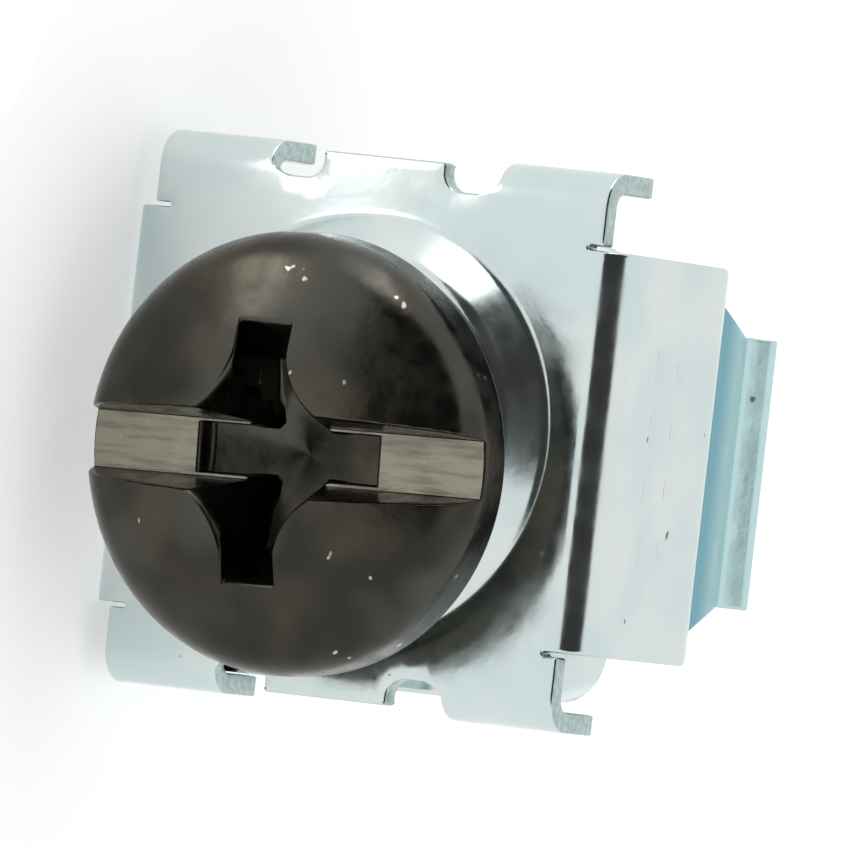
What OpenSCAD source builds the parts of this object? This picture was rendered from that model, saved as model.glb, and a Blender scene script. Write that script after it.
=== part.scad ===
// Cage nut with its pan head screw, for square-hole rack rails.
// One folded spring steel cage, one loose square nut inside it, one screw.
// The part lies on the wall of its lower wing. Millimetres, +Z up.
// Y runs along the screw: head at -Y, wing hooks at +Y. Y = 0 is the plane
// of the wing shoulders, the face that stops on the back of the rail.

/* [Cage sheet] */
// Sheet thickness
sheet_t = 0.45; // [0.4:0.05:0.6]
// Plate size over the folded corner tabs, along X
plate_x = 12; // [11:0.1:13]
// Cage size over the two wing walls, along Z
wing_z = 12.1; // [11.9:0.05:12.4]
// Length of the plate's straight middle edges, along X
middle_x = 11.68; // [10.8:0.02:12]
// Half length of each straight middle edge, along Z
middle_half_z = 1.48; // [1.3:0.02:1.7]
// Half width of the plate at its corners, along Z
corner_half_z = 5.45; // [5.3:0.05:5.6]
// Start of the corner tabs, measured from the middle along Z
tab_start_z = 2.75; // [2.6:0.05:3.2]
// Outer radius of the corner tab folds
tab_bend_r = 0.76; // [0.7:0.02:1.1]
// Depth of the corner tabs behind the plate face
tab_depth = 2.3; // [1.8:0.1:2.6]
// Depth of the relief notches in the plate edge
notch_depth = 0.6; // [0.4:0.05:0.7]
// Corner radius of the relief notches and of the tab ends
notch_r = 0.4; // [0.2:0.05:0.45]
// Width of the relief slits beside the wings
slit_w = 0.1; // [0.05:0.01:0.2]
// Depth of the relief slits from the plate's corner edge
slit_depth = 0.37; // [0.3:0.01:0.5]

/* [Pressed ring] */
// Height of the pressed ring in front of the plate
ring_h = 0.8; // [0.5:0.1:1.2]
// Radius where the ring's slope meets the plate
ring_base_r = 4.6; // [4.4:0.05:4.8]
// Radius where the ring's slope meets its flat top
ring_top_r = 3.85; // [3.75:0.05:4]
// Radius of the clearance hole
hole_r = 3.5; // [3.4:0.05:3.6]
// Rounding at the top of the ring's slope
crest_r = 0.55; // [0.47:0.01:0.7]
// Rounding where the ring's slope leaves the plate
foot_r = 0.3; // [0.1:0.05:0.5]

/* [Wings] */
// Outer radius of the fold from plate to wing wall
wing_bend_r = 0.75; // [0.6:0.05:1]
// Half width of the wing walls, along X
wall_half_x = 4.3; // [4:0.05:4.5]
// Distance from the plate face to the shoulder face
shoulder_y = 5.4; // [5.2:0.05:5.8]
// Outer radius of the shoulder fold
shoulder_r = 0.7; // [0.6:0.05:0.9]
// Distance over the two necks, which pass the square rail hole
neck_z = 9.4; // [9.2:0.05:9.45]
// Inner radius of the fold from shoulder to neck
neck_fold_r = 0.25; // [0.15:0.05:0.3]
// Half width of the neck, along X
neck_half_x = 3.9; // [3.6:0.05:4.2]
// Half width of the hook, along X
hook_half_x = 2.95; // [2.6:0.05:3.2]
// Start of the neck's slanted edges behind the shoulder
slant_start = 1.5; // [1.1:0.1:1.8]
// End of the slanted edges and start of the hook fold
neck_length = 3.4; // [2.8:0.1:3.6]
// Outward lean of the hook
hook_angle = 40; // [30:1:45]
// Straight length of the hook
hook_length = 0.6; // [0.3:0.05:0.7]
// Corner radius of the wall ends
wall_corner_r = 0.7; // [0.3:0.05:0.8]

/* [Square nut] */
// Nut size across flats
nut_size = 9.9; // [9.6:0.05:10]
// Gap left on each side of the nut between the plate and the shoulders
nut_gap_y = 0.04; // [0.03:0.01:0.1]
// Gap left between the nut and the +X corner tabs it lies against
nut_gap_x = 0.03; // [0.03:0.01:0.1]
// Gap left between the nut and the lower wing wall
nut_gap_z = 0.36; // [0.05:0.01:0.5]
// Lean of the loose nut and its screw inside the cage
loose_lean = 3; // [0:0.5:3]
// Radius of the nut's upright corners
nut_corner_r = 1; // [0.6:0.1:1.4]
// Radius of the turned face on the hook side of the nut
nut_face_r = 4.7; // [4.4:0.05:4.8]
// Slope of the nut's conical chamfer
nut_chamfer_angle = 30; // [25:1:35]

/* [Screw] */
// Thread outside radius
thread_r = 2.5; // [2.4:0.05:2.6]
// Thread pitch
thread_pitch = 0.8; // [0.7:0.1:1]
// Depth of the thread's grooves
thread_depth = 0.48; // [0.4:0.01:0.5]
// Plain length between the head and the first groove
plain_length = 0.4; // [0.3:0.1:1]
// Radial play between the screw and the nut
thread_play = 0.04; // [0.03:0.01:0.06]
// Gap between the head and the pressed ring where they are nearest
seat_gap = 0.02; // [0.02:0.01:0.1]
// Screw length under the head
screw_length = 12; // [10:0.5:14]
// Head radius
head_r = 4.75; // [4.6:0.05:4.8]
// Head height
head_h = 3.2; // [3.1:0.05:3.6]
// Radius of the shallow dome on top of the head
dome_r = 9.5; // [8:0.1:11]
// Radius of the head's rounded shoulder
head_round = 1.2; // [0.8:0.1:1.4]
// Bevel under the head's rim
rim_bevel = 0.4; // [0.15:0.05:0.5]
// Bevel on the screw tip
tip_bevel = 0.6; // [0.4:0.1:0.7]

/* [Drive recess] */
// Turn of the drive recess about the screw, from the slot across the wings
drive_turn = 1.2; // [0:0.1:3]
// Width of the straight slot at its floor
slot_w = 1.25; // [1.1:0.05:1.4]
// Width of the straight slot at the top of the dome
slot_mouth = 1.8; // [1.4:0.05:1.9]
// Depth of the slot below the top of the dome
slot_depth = 1.9; // [1.6:0.1:2]
// Tip-to-tip size of the cross recess
cross_size = 5.9; // [5.5:0.1:6.1]
// Arm width of the cross recess, at the top of the dome
cross_arm_w = 1.3; // [1.1:0.05:1.5]
// Slope of the arms' side walls
cross_draft = 2.8; // [1:0.1:4]
// Depth of the cross recess below the top of the dome
cross_depth = 2.9; // [2.5:0.1:3]
// Inward slope of the arm ends
cross_slope = 22; // [18:1:24]
// Distance of the four rolled corners' centres from the cross's arms
rolled_c = 2.4; // [2.2:0.1:2.6]
// Growth of the rolled corners' radius from top to bottom
rolled_grow = 0.9; // [0.6:0.1:1.2]

/* [Hidden] */
// Facets of the round shapes
$fn = 64;
// Size of the helper shapes used for cutting
big = 40;
// Overlap used where shapes are joined
join = 0.02;
// Width of the plate strip that ties the ring and the wings into the plate
tie = 0.4;
// Half sizes
half_x = plate_x/2;
half_z = wing_z/2;
neck_half_z = neck_z/2;
// Places along Y, with the shoulder face at zero
plate_y = -shoulder_y;
room_y = shoulder_y - 2*sheet_t;
nut_y = -shoulder_y/2;
// The nut's thickness is what its lean leaves between plate and shoulders
nut_thick = (room_y - 2*nut_gap_y - nut_size*sin(loose_lean))/cos(loose_lean);
// The loose nut, and the screw in it, lie off centre in the cage
nut_reach = nut_size/2*cos(loose_lean) + nut_thick/2*sin(loose_lean);
float_x = half_x - sheet_t - nut_gap_x - nut_reach;
float_z = -(half_z - sheet_t - nut_gap_z - nut_size/2);
// Distance from the middle of the nut to the screw's seat
seat_y = plate_y - ring_h - seat_gap - (ring_top_r + float_x)*tan(loose_lean);
seat_d = (nut_y - seat_y)/cos(loose_lean);
bore_r = thread_r + thread_play;
// Centre height of the head's rounded shoulder above the seat
shoulder_c = head_h - dome_r + sqrt(pow(dome_r - head_round, 2) - pow(head_r - head_round, 2));

cage_color = [0.79, 0.84, 0.85];
nut_color = [0.70, 0.76, 0.78];
screw_color = [0.16, 0.155, 0.15];

// Wedge of a plane from angle a to angle b, for cutting ring sectors
module wedge(a, b) {
  mid = (a + b)/2;
  polygon([[0, 0],
    [big*cos(a), big*sin(a)],
    [big*1.5*cos(mid), big*1.5*sin(mid)],
    [big*cos(b), big*sin(b)]]);
}

// Sector of a folded sheet: outer radius, from angle a to b
module fold(outer_r, a, b) {
  intersection() {
    difference() {
      circle(r = outer_r);
      circle(r = outer_r - sheet_t);
    }
    wedge(a, b);
  }
}

// Extrudes a profile drawn in (y, z) along X, centred
module along_x(length) {
  rotate([90, 0, 90])
    translate([0, 0, -length/2])
      linear_extrude(height = length)
        children();
}

// Extrudes a profile drawn in (x, y) along Z, from z0 to z1
module along_z(z0, z1) {
  translate([0, 0, z0])
    linear_extrude(height = z1 - z0)
      children();
}

// Turns a profile drawn in (radius, height) so that its height runs to -Y
module toward_head() {
  rotate([90, 0, 0])
    rotate_extrude()
      children();
}

// Folded profile of the upper wing in (y, z), plate face at y = 0
module wing_profile() {
  neck_c_z = neck_half_z + neck_fold_r;
  hook_y = shoulder_y + neck_length;
  // fold from the plate
  translate([wing_bend_r, half_z - wing_bend_r])
    fold(wing_bend_r, 90, 180);
  // tie into the plate
  translate([0, half_z - wing_bend_r - tie])
    square([sheet_t, tie]);
  // wall
  translate([wing_bend_r, half_z - sheet_t])
    square([shoulder_y - shoulder_r - wing_bend_r, sheet_t]);
  // shoulder fold
  translate([shoulder_y - shoulder_r, half_z - shoulder_r])
    fold(shoulder_r, 0, 90);
  // shoulder
  translate([shoulder_y - sheet_t, neck_c_z])
    square([sheet_t, half_z - shoulder_r - neck_c_z]);
  // fold from shoulder to neck
  translate([shoulder_y + neck_fold_r, neck_c_z])
    fold(neck_fold_r + sheet_t, 180, 270);
  // neck
  translate([shoulder_y + neck_fold_r, neck_half_z - sheet_t])
    square([neck_length - neck_fold_r, sheet_t]);
  // hook
  translate([hook_y, neck_half_z + neck_fold_r])
    fold(neck_fold_r + sheet_t, 270, 270 + hook_angle);
  translate([hook_y, neck_half_z + neck_fold_r])
    rotate(hook_angle)
      translate([-join, -neck_fold_r - sheet_t])
        square([hook_length + join, sheet_t]);
}

// Outline of the wing seen from above, in (x, y), plate face at y = 0
module wing_outline() {
  wall_end = shoulder_y - wall_corner_r;
  slant_y = shoulder_y + slant_start;
  hook_y = shoulder_y + neck_length;
  translate([-wall_half_x, -1])
    square([2*wall_half_x, wall_end + 1]);
  for (s = [-1, 1])
    translate([s*(wall_half_x - wall_corner_r), wall_end])
      circle(r = wall_corner_r);
  polygon([
    [-neck_half_x, 0], [-neck_half_x, slant_y], [-hook_half_x, hook_y],
    [-hook_half_x, hook_y + 2], [hook_half_x, hook_y + 2],
    [hook_half_x, hook_y], [neck_half_x, slant_y], [neck_half_x, 0]]);
}

module wing() {
  intersection() {
    along_x(2*wall_half_x)
      wing_profile();
    along_z(0, half_z + 1)
      wing_outline();
  }
}

// Flat part of the plate in (x, z)
module plate_outline() {
  flat_half_x = half_x - tab_bend_r;
  difference() {
    union() {
      square([2*flat_half_x, 2*(half_z - wing_bend_r)], center = true);
      for (s = [-1, 1])
        translate([s*(flat_half_x + wall_half_x)/2, 0])
          square([flat_half_x - wall_half_x, 2*corner_half_z], center = true);
    }
    for (sx = [-1, 1])
      for (sz = [-1, 1])
        scale([sx, sz])
          translate([wall_half_x, corner_half_z - slit_depth])
            square([slit_w, 2*slit_depth]);
  }
  difference() {
    square([middle_x, 2*tab_start_z], center = true);
    for (sx = [-1, 1])
      for (sz = [-1, 1])
        scale([sx, sz])
          relief_notch();
  }
}

// One relief notch with rounded inner corners, in the first quarter
module relief_notch() {
  floor_x = middle_x/2 - notch_depth;
  translate([floor_x + notch_r, middle_half_z])
    square([2*notch_depth, tab_start_z - middle_half_z]);
  translate([floor_x, middle_half_z + notch_r])
    square([2*notch_depth, tab_start_z - middle_half_z - 2*notch_r]);
  translate([floor_x + notch_r, middle_half_z + notch_r])
    circle(r = notch_r);
  translate([floor_x + notch_r, tab_start_z - notch_r])
    circle(r = notch_r);
}

// One folded corner tab, at +X and +Z
module corner_tab() {
  tab_w = corner_half_z - tab_start_z;
  tab_end = tab_depth - notch_r;
  intersection() {
    translate([0, 0, tab_start_z])
      linear_extrude(height = tab_w)
        union() {
          translate([half_x - tab_bend_r, tab_bend_r])
            fold(tab_bend_r, 270, 360);
          translate([half_x - sheet_t, tab_bend_r])
            square([sheet_t, tab_depth - tab_bend_r]);
          translate([half_x - tab_bend_r - join, 0])
            square([2*join, sheet_t]);
        }
    along_x(4*half_x)
      union() {
        translate([-1, tab_start_z])
          square([tab_end + 1, tab_w]);
        translate([-1, tab_start_z + notch_r])
          square([tab_depth + 1, tab_w - 2*notch_r]);
        for (z = [tab_start_z + notch_r, corner_half_z - notch_r])
          translate([tab_end, z])
            circle(r = notch_r);
      }
  }
}

// Points of an arc about a centre, from angle a to b
function arc(centre, r, a, b, steps = 8) =
  [for (i = [0:steps]) let (t = a + (b - a)*i/steps)
    [centre[0] + r*cos(t), centre[1] + r*sin(t)]];

// Pressed ring: sheet profile in (radius, height in front of the plate),
// one sheet thick, with its crest and foot rounded about shared centres
module ring_profile() {
  slope = atan2(ring_h, ring_base_r - ring_top_r);
  crest_c = [ring_top_r - crest_r*tan(slope/2), ring_h - crest_r];
  foot_c = [ring_base_r + foot_r*tan(slope/2), foot_r];
  difference() {
    polygon(concat(
      [[0, ring_h]],
      arc(crest_c, crest_r, 90, 90 - slope),
      arc(foot_c, foot_r, 270 - slope, 270),
      [[ring_base_r + tie, 0], [ring_base_r + tie, -sheet_t]],
      arc(foot_c, foot_r + sheet_t, 270, 270 - slope),
      arc(crest_c, crest_r - sheet_t, 90 - slope, 90),
      [[0, ring_h - sheet_t]]));
    translate([-join, -2*sheet_t])
      square([hole_r + join, ring_h + 3*sheet_t]);
  }
}

module cage_in_place() {
  difference() {
    rotate([90, 0, 0])
      translate([0, 0, -sheet_t])
        linear_extrude(height = sheet_t)
          plate_outline();
    rotate([90, 0, 0])
      cylinder(r = ring_base_r + tie/2, h = 4*sheet_t, center = true);
  }
  toward_head()
    ring_profile();
  for (sx = [-1, 1])
    for (sz = [-1, 1])
      scale([sx, 1, sz])
        corner_tab();
  wing();
  mirror([0, 0, 1])
    wing();
}

// Places the leaning nut and screw: origin in the middle of the nut
module in_the_nut() {
  translate([float_x, nut_y, float_z])
    rotate([0, 0, loose_lean])
      children();
}

module cage() {
  color(cage_color)
    translate([0, plate_y, 0])
      cage_in_place();
}

// Square with rounded corners
module nut_outline() {
  c = nut_size/2 - nut_corner_r;
  square([nut_size, 2*c], center = true);
  square([2*c, nut_size], center = true);
  for (sx = [-1, 1])
    for (sy = [-1, 1])
      translate([sx*c, sy*c])
        circle(r = nut_corner_r);
}

// Square nut: block cut by a cone on its hook side, with a plain bore
module square_nut() {
  cone_out = nut_thick/tan(nut_chamfer_angle);
  color(nut_color)
    in_the_nut()
      rotate([-90, 0, 0])
        translate([0, 0, -nut_thick/2])
          difference() {
            intersection() {
              linear_extrude(height = nut_thick)
                nut_outline();
              cylinder(r1 = nut_face_r + cone_out, r2 = nut_face_r, h = nut_thick);
            }
            translate([0, 0, -1])
              cylinder(r = bore_r, h = nut_thick + 2);
          }
}

// Head in (radius, height above the seat): dome, rounded shoulder, side
module head_profile() {
  corner = [head_r - head_round, shoulder_c];
  reach = 3;
  lean = [corner[0], corner[1] - (head_h - dome_r)];
  intersection() {
    translate([0, head_h - dome_r])
      circle(r = dome_r, $fn = 256);
    polygon([[0, head_h - dome_r], [lean[0]*reach, head_h - dome_r + lean[1]*reach],
      [0, big]]);
    square([head_r, head_h + 1]);
  }
  translate(corner)
    intersection() {
      circle(r = head_round);
      square([2*head_round, 2*head_round]);
    }
  polygon([[0, 0], [head_r - rim_bevel, 0], [head_r, rim_bevel],
    [head_r, shoulder_c], [0, shoulder_c]]);
}

// Straight slot with leaning walls, cut from the top of the dome
module slot_blade() {
  lean = (slot_mouth - slot_w)/2/slot_depth;
  mouth = slot_mouth/2 + lean;
  rotate([90, 0, 0])
    linear_extrude(height = 2*head_r + 2, center = true)
      polygon([[-mouth, 1], [mouth, 1],
        [slot_w/2, -slot_depth], [-slot_w/2, -slot_depth]]);
}

// Outline of a recess in (across, height): half width at the top, slope
module recess_outline(top, slope, depth) {
  up = 1;
  out = top + up*tan(slope);
  in = top - depth*tan(slope);
  polygon([[-out, up], [out, up], [in, -depth], [-in, -depth]]);
}

// Blade of the cross recess with sloping ends and sides
module cross_blade() {
  intersection() {
    rotate([90, 0, 0])
      linear_extrude(height = 2*cross_arm_w, center = true)
        recess_outline(cross_size/2, cross_slope, cross_depth);
    rotate([90, 0, 90])
      linear_extrude(height = 2*cross_size, center = true)
        recess_outline(cross_arm_w/2, cross_draft, cross_depth);
  }
}

// Middle of the cross recess: what four cones, one per corner, leave of it
module cross_middle() {
  top_r = rolled_c - cross_arm_w/2;
  rise = 1;
  slope = rolled_grow/cross_depth;
  difference() {
    intersection() {
      rotate([90, 0, 0])
        linear_extrude(height = 2*rolled_c, center = true)
          recess_outline(cross_size/2, cross_slope, cross_depth);
      rotate([90, 0, 90])
        linear_extrude(height = 2*rolled_c, center = true)
          recess_outline(cross_size/2, cross_slope, cross_depth);
    }
    for (a = [45, 135, 225, 315])
      rotate([0, 0, a])
        translate([rolled_c*sqrt(2), 0, -cross_depth])
          cylinder(r1 = top_r + rolled_grow, r2 = top_r - slope*rise,
            h = cross_depth + rise);
  }
}

// Shank in (radius, length from the seat), with a groove for each pitch
module shank_profile() {
  crest = thread_pitch/8;
  root_r = thread_r - thread_depth;
  grooves = floor((screw_length - tip_bevel - plain_length)/thread_pitch);
  slant = (thread_pitch - 2*crest)/2;
  polygon(concat(
    [[0, -join], [thread_r, -join], [thread_r, plain_length]],
    [for (i = [0:grooves - 1]) each
      let (y = plain_length + i*thread_pitch)
      [[root_r, y + slant], [root_r, y + slant + crest],
        [thread_r, y + thread_pitch - crest], [thread_r, y + thread_pitch]]],
    [[thread_r, screw_length - tip_bevel],
      [thread_r - tip_bevel, screw_length], [0, screw_length]]));
}

module pan_head_screw() {
  color(screw_color)
    in_the_nut()
      translate([0, -seat_d, 0])
        difference() {
          union() {
            toward_head()
              head_profile();
            rotate([-90, 0, 0])
              rotate_extrude()
                shank_profile();
          }
          rotate([90, 0, 0])
            translate([0, 0, head_h])
              rotate([0, 0, drive_turn]) {
                slot_blade();
                cross_blade();
                rotate([0, 0, 90])
                  cross_blade();
                cross_middle();
              }
        }
}

cage();
square_nut();
pan_head_screw();
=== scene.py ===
import math
import bmesh
import bpy
import numpy as np
from mathutils import Matrix, Vector
from mathutils.geometry import delaunay_2d_cdt


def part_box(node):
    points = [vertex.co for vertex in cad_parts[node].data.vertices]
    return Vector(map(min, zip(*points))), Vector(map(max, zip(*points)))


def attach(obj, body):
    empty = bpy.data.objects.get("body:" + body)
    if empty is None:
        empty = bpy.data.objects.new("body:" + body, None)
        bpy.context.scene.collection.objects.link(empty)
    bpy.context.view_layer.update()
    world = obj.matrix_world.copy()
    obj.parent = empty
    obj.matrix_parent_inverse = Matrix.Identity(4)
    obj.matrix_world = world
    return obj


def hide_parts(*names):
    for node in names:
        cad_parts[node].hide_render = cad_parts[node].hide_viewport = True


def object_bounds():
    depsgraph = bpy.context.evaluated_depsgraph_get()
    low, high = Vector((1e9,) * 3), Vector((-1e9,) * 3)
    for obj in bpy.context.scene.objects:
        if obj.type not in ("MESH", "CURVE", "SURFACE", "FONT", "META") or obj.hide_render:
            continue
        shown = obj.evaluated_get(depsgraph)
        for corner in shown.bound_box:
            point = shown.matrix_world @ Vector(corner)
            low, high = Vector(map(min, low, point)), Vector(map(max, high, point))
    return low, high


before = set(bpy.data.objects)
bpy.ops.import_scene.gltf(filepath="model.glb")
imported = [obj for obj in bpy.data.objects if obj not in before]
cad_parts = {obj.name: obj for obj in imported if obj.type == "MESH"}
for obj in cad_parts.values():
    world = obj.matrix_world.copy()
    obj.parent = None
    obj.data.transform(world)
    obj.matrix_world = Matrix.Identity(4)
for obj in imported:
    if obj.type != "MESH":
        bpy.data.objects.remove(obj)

cadLow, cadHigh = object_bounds()
mm = 0.001


def toLinear(hexColour):
    # sRGB hex to the linear values the shaders use
    parts = [int(hexColour[i:i + 2], 16) / 255 for i in (1, 3, 5)]
    return tuple(c / 12.92 if c <= 0.04045 else ((c + 0.055) / 1.055) ** 2.4 for c in parts) + (1.0,)


def addNode(tree, kind, place, settings=None, inputs=None, links=None):
    # one node, with its settings, its fixed inputs and the sockets that feed it
    node = tree.nodes.new(kind)
    node.location = place
    for name, value in (settings or {}).items():
        setattr(node, name, value)
    for name, value in (inputs or {}).items():
        node.inputs[name].default_value = value
    for name, source in (links or {}).items():
        tree.links.new(source, node.inputs[name])
    return node


# camera: in front of the plate, above it, and rolled so that +Z runs to the right
cameraView = {
    "distance": 385 * mm,
    "turn": 27.5,
    "tilt": -0.5,
    "roll": 6.5,
    "lens": 749,
    "shiftRight": 1.65 * mm,
    "shiftDown": 0.10 * mm,
    "clip": (0.01, 10),     # nearest and farthest, metres
}


def viewAxes(view):
    # the ways that the picture's side, its top and the viewer lie, before the roll
    turn, tilt = math.radians(view["turn"]), math.radians(view["tilt"])
    back = Vector((-math.sin(tilt), -math.cos(turn) * math.cos(tilt), math.sin(turn) * math.cos(tilt)))
    side = Vector((0, math.sin(turn), math.cos(turn)))
    up = Vector((-math.cos(tilt), math.cos(turn) * math.sin(tilt), -math.sin(turn) * math.sin(tilt)))
    return side, up, back


def makeCamera(view, plateCentre):
    side, up, back = viewAxes(view)
    roll = math.radians(view["roll"])
    right = side * math.cos(roll) + up * math.sin(roll)
    top = up * math.cos(roll) - side * math.sin(roll)
    data = bpy.data.cameras.new("camera")
    data.lens = view["lens"]
    data.clip_start, data.clip_end = view["clip"]
    camera = bpy.data.objects.new("camera", data)
    bpy.context.scene.collection.objects.link(camera)
    target = plateCentre + right * view["shiftRight"] - top * view["shiftDown"]
    axes = Matrix((right, top, back)).transposed().to_4x4()
    camera.matrix_world = Matrix.Translation(target + back * view["distance"]) @ axes
    bpy.context.scene.camera = camera


cageLow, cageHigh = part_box("cage")
ringHeight = 0.8
plateFront = cageLow.y / mm + ringHeight   # front face of the plate, mm
makeCamera(cameraView, Vector((0, plateFront * mm, 0)))
print("camera placed")


def ringPoints(radius, count):
    return [(radius * math.cos(2 * math.pi * i / count), radius * math.sin(2 * math.pi * i / count))
            for i in range(count)]


def makeObject(name, verts, faces, materials, slots=None):
    # a smooth mesh in the units it is given in, with its object at the origin
    mesh = bpy.data.meshes.new(name)
    mesh.from_pydata([tuple(v) for v in verts], [], [tuple(f) for f in faces])
    for m in materials:
        mesh.materials.append(m)
    if slots is not None:
        mesh.polygons.foreach_set("material_index", list(slots))
    mesh.shade_smooth()
    obj = bpy.data.objects.new(name, mesh)
    bpy.context.scene.collection.objects.link(obj)
    return obj


def bakeModifiers(obj, scale=mm):
    # applies the modifiers, and brings millimetres to metres unless another scale is given
    graph = bpy.context.evaluated_depsgraph_get()
    baked = bpy.data.meshes.new_from_object(obj.evaluated_get(graph))
    obj.modifiers.clear()
    old = obj.data
    obj.data = baked
    bpy.data.meshes.remove(old)
    baked.transform(Matrix.Scale(scale, 4))
    baked.name = obj.name
    return obj


def turnOutwards(obj):
    # turns the faces of a finished piece to look outwards
    work = bmesh.new()
    work.from_mesh(obj.data)
    bmesh.ops.recalc_face_normals(work, faces=work.faces)
    work.to_mesh(obj.data)
    work.free()


# cage: one sheet, cut flat and folded
cageSizes = {
    "sheet": 0.45,
    "halfX": (cageHigh.x - cageLow.x) / 2 / mm,
    "halfZ": (cageHigh.z - cageLow.z) / 2 / mm,
    "foldX": 5.24,          # where the corner tabs start to fold
    "middleX": 5.84,
    "middleZ": 1.48,
    "notchR": 0.4,
    "tabStart": 2.75,
    "cornerZ": 5.45,
    "tabDepth": 2.3,
    "slit": 0.1,            # relief slit beside each wing
    "slitDeep": 0.22,
    "wingBend": 0.75,
    "wallX": 4.3,
    "shoulder": 5.4,
    "shoulderR": 0.7,
    "neckZ": 4.7,
    "neckFold": 0.25,
    "neckX": 3.9,
    "hookX": 2.95,
    "slantStart": 1.5,
    "neckLength": 3.4,
    "hookAngle": 40,
    "hookLength": 0.6,
    "wallCorner": 0.7,
    "hole": 3.5,
    "ringTop": 3.85,
    "ringBase": 4.6,
    "ringHeight": ringHeight,
    "crestR": 0.55,         # rounding at the top of the pressed ring
    "footR": 0.3,           # rounding where the ring leaves the plate
    "ringOuter": 5.0,
    "edge": 0.05,           # rounding of the sheared edges
    "middleRound": 0.08,    # rounding at the ends of the straight middle edges
    "fill": 0.4,            # spacing of the points that fill the flat plate
    "barColumns": 4,        # short plain bars pressed into the upper wall
    "barFirst": -1.95,
    "barStep": 1.28,
    "barRows": ((2.05, 0.34), (3.05, 0.22)),   # distance from the plate, half length
    "barDepth": 0.05,
    "barHalfWidth": 0.05,
    "barSlope": 0.07,
}


def ringCurve(c):
    # front profile of the pressed ring: (radius, height, slope angle), from the hole outwards
    run, rise = c["ringBase"] - c["ringTop"], c["ringHeight"]
    angle = math.atan2(rise, run)
    crest = c["crestR"] * math.tan(angle / 2)
    foot = c["footR"] * math.tan(angle / 2)
    points = [(c["hole"], rise, 0.0)]
    x0 = c["ringTop"] - crest
    if x0 > c["hole"]:
        points.append(((c["hole"] + x0) / 2, rise, 0.0))
    for i in range(9):
        a = angle * i / 8
        points.append((x0 + c["crestR"] * math.sin(a), rise - c["crestR"] * (1 - math.cos(a)), a))
    x1 = c["ringBase"] + foot
    for i in range(7):
        a = angle * (1 - i / 6)
        points.append((x1 - c["footR"] * math.sin(a), c["footR"] * (1 - math.cos(a)), a))
    points.append((c["ringOuter"], 0.0, 0.0))
    return points


def wingPath(c):
    # outer profile of a wing: (along Y from the plate face, Z, direction the face looks to, half width)
    halfZ, r = c["halfZ"], c["wingBend"]
    wallEnd = c["shoulder"] - c["shoulderR"]
    hookY = c["shoulder"] + c["neckLength"]
    slantY = c["shoulder"] + c["slantStart"]
    path = []

    def halfWidth(y):
        if y <= wallEnd:
            return c["wallX"]
        if y <= c["shoulder"]:
            k = min(1.0, (y - wallEnd) / c["wallCorner"])
            return max(c["neckX"], c["wallX"] - c["wallCorner"] * (1 - math.sqrt(1 - k * k)))
        if y <= slantY:
            return c["neckX"]
        if y <= hookY:
            k = (y - slantY) / (hookY - slantY)
            return c["neckX"] + (c["hookX"] - c["neckX"]) * k
        return c["hookX"]

    def add(y, z, a):
        path.append((y, z, math.cos(math.radians(a)), math.sin(math.radians(a)), halfWidth(y)))

    for i in range(1, 13):                       # fold from the plate to the wall
        a = 180 - 90 * i / 12
        add(r + r * math.cos(math.radians(a)), halfZ - r + r * math.sin(math.radians(a)), a)
    for i in range(1, 41):                       # wall
        add(r + (wallEnd - r) * i / 40, halfZ, 90)
    s = c["shoulderR"]
    for i in range(1, 11):                       # fold to the shoulder
        a = 90 - 90 * i / 10
        add(wallEnd + s * math.cos(math.radians(a)), halfZ - s + s * math.sin(math.radians(a)), a)
    f = c["neckFold"]
    centreZ = c["neckZ"] + f
    for i in range(1, 4):                        # shoulder
        add(c["shoulder"], halfZ - s + (centreZ - halfZ + s) * i / 3, 0)
    for i in range(1, 8):                        # tight fold to the neck
        a = 180 + 90 * i / 7
        add(c["shoulder"] + f + f * math.cos(math.radians(a)), centreZ + f * math.sin(math.radians(a)), a + 180)
    for i in range(1, 13):                       # neck
        add(c["shoulder"] + f + (c["neckLength"] - f) * i / 12, c["neckZ"], 90)
    for i in range(1, 6):                        # fold of the hook
        a = 270 + c["hookAngle"] * i / 5
        add(hookY + f * math.cos(math.radians(a)), centreZ + f * math.sin(math.radians(a)), a + 180)
    y, z = path[-1][0], path[-1][1]
    a = math.radians(c["hookAngle"])
    for i in range(1, 4):                        # hook
        d = c["hookLength"] * i / 3
        add(y + d * math.cos(a), z + d * math.sin(a), c["hookAngle"] + 90)
    return path


def tabPath(c):
    # outer profile of a corner tab: (X, along Y, direction the face looks to, lowest and highest Z)
    r = c["halfX"] - c["foldX"]
    k = c["notchR"]
    low, high = c["tabStart"], c["cornerZ"]
    lengths = [r * math.pi / 2 * i / 12 for i in range(1, 13)]
    straight = c["tabDepth"] - r
    lengths += [r * math.pi / 2 + straight * f for f in (0.25, 0.5, 0.62, 0.72, 0.8, 0.87, 0.93, 0.97, 1.0)]
    total = lengths[-1]
    path = []
    for u in lengths:
        if u < r * math.pi / 2 + 1e-9:
            a = u / r
            x, y = c["foldX"] + r * math.sin(a), r - r * math.cos(a)
        else:
            a = math.pi / 2
            x, y = c["halfX"], r + u - r * math.pi / 2
        lo, hi = low, high
        if u < k:                                # the notch runs out into the tab's side
            lo = low - k + math.sqrt(max(0.0, k * k - (k - u) ** 2))
        if u > total - k:                        # rounded tab end
            d = k - math.sqrt(max(0.0, k * k - (u - total + k) ** 2))
            lo, hi = low + d, high - d
        path.append((x, y, math.sin(a), -math.cos(a), lo, hi))
    return path


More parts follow.
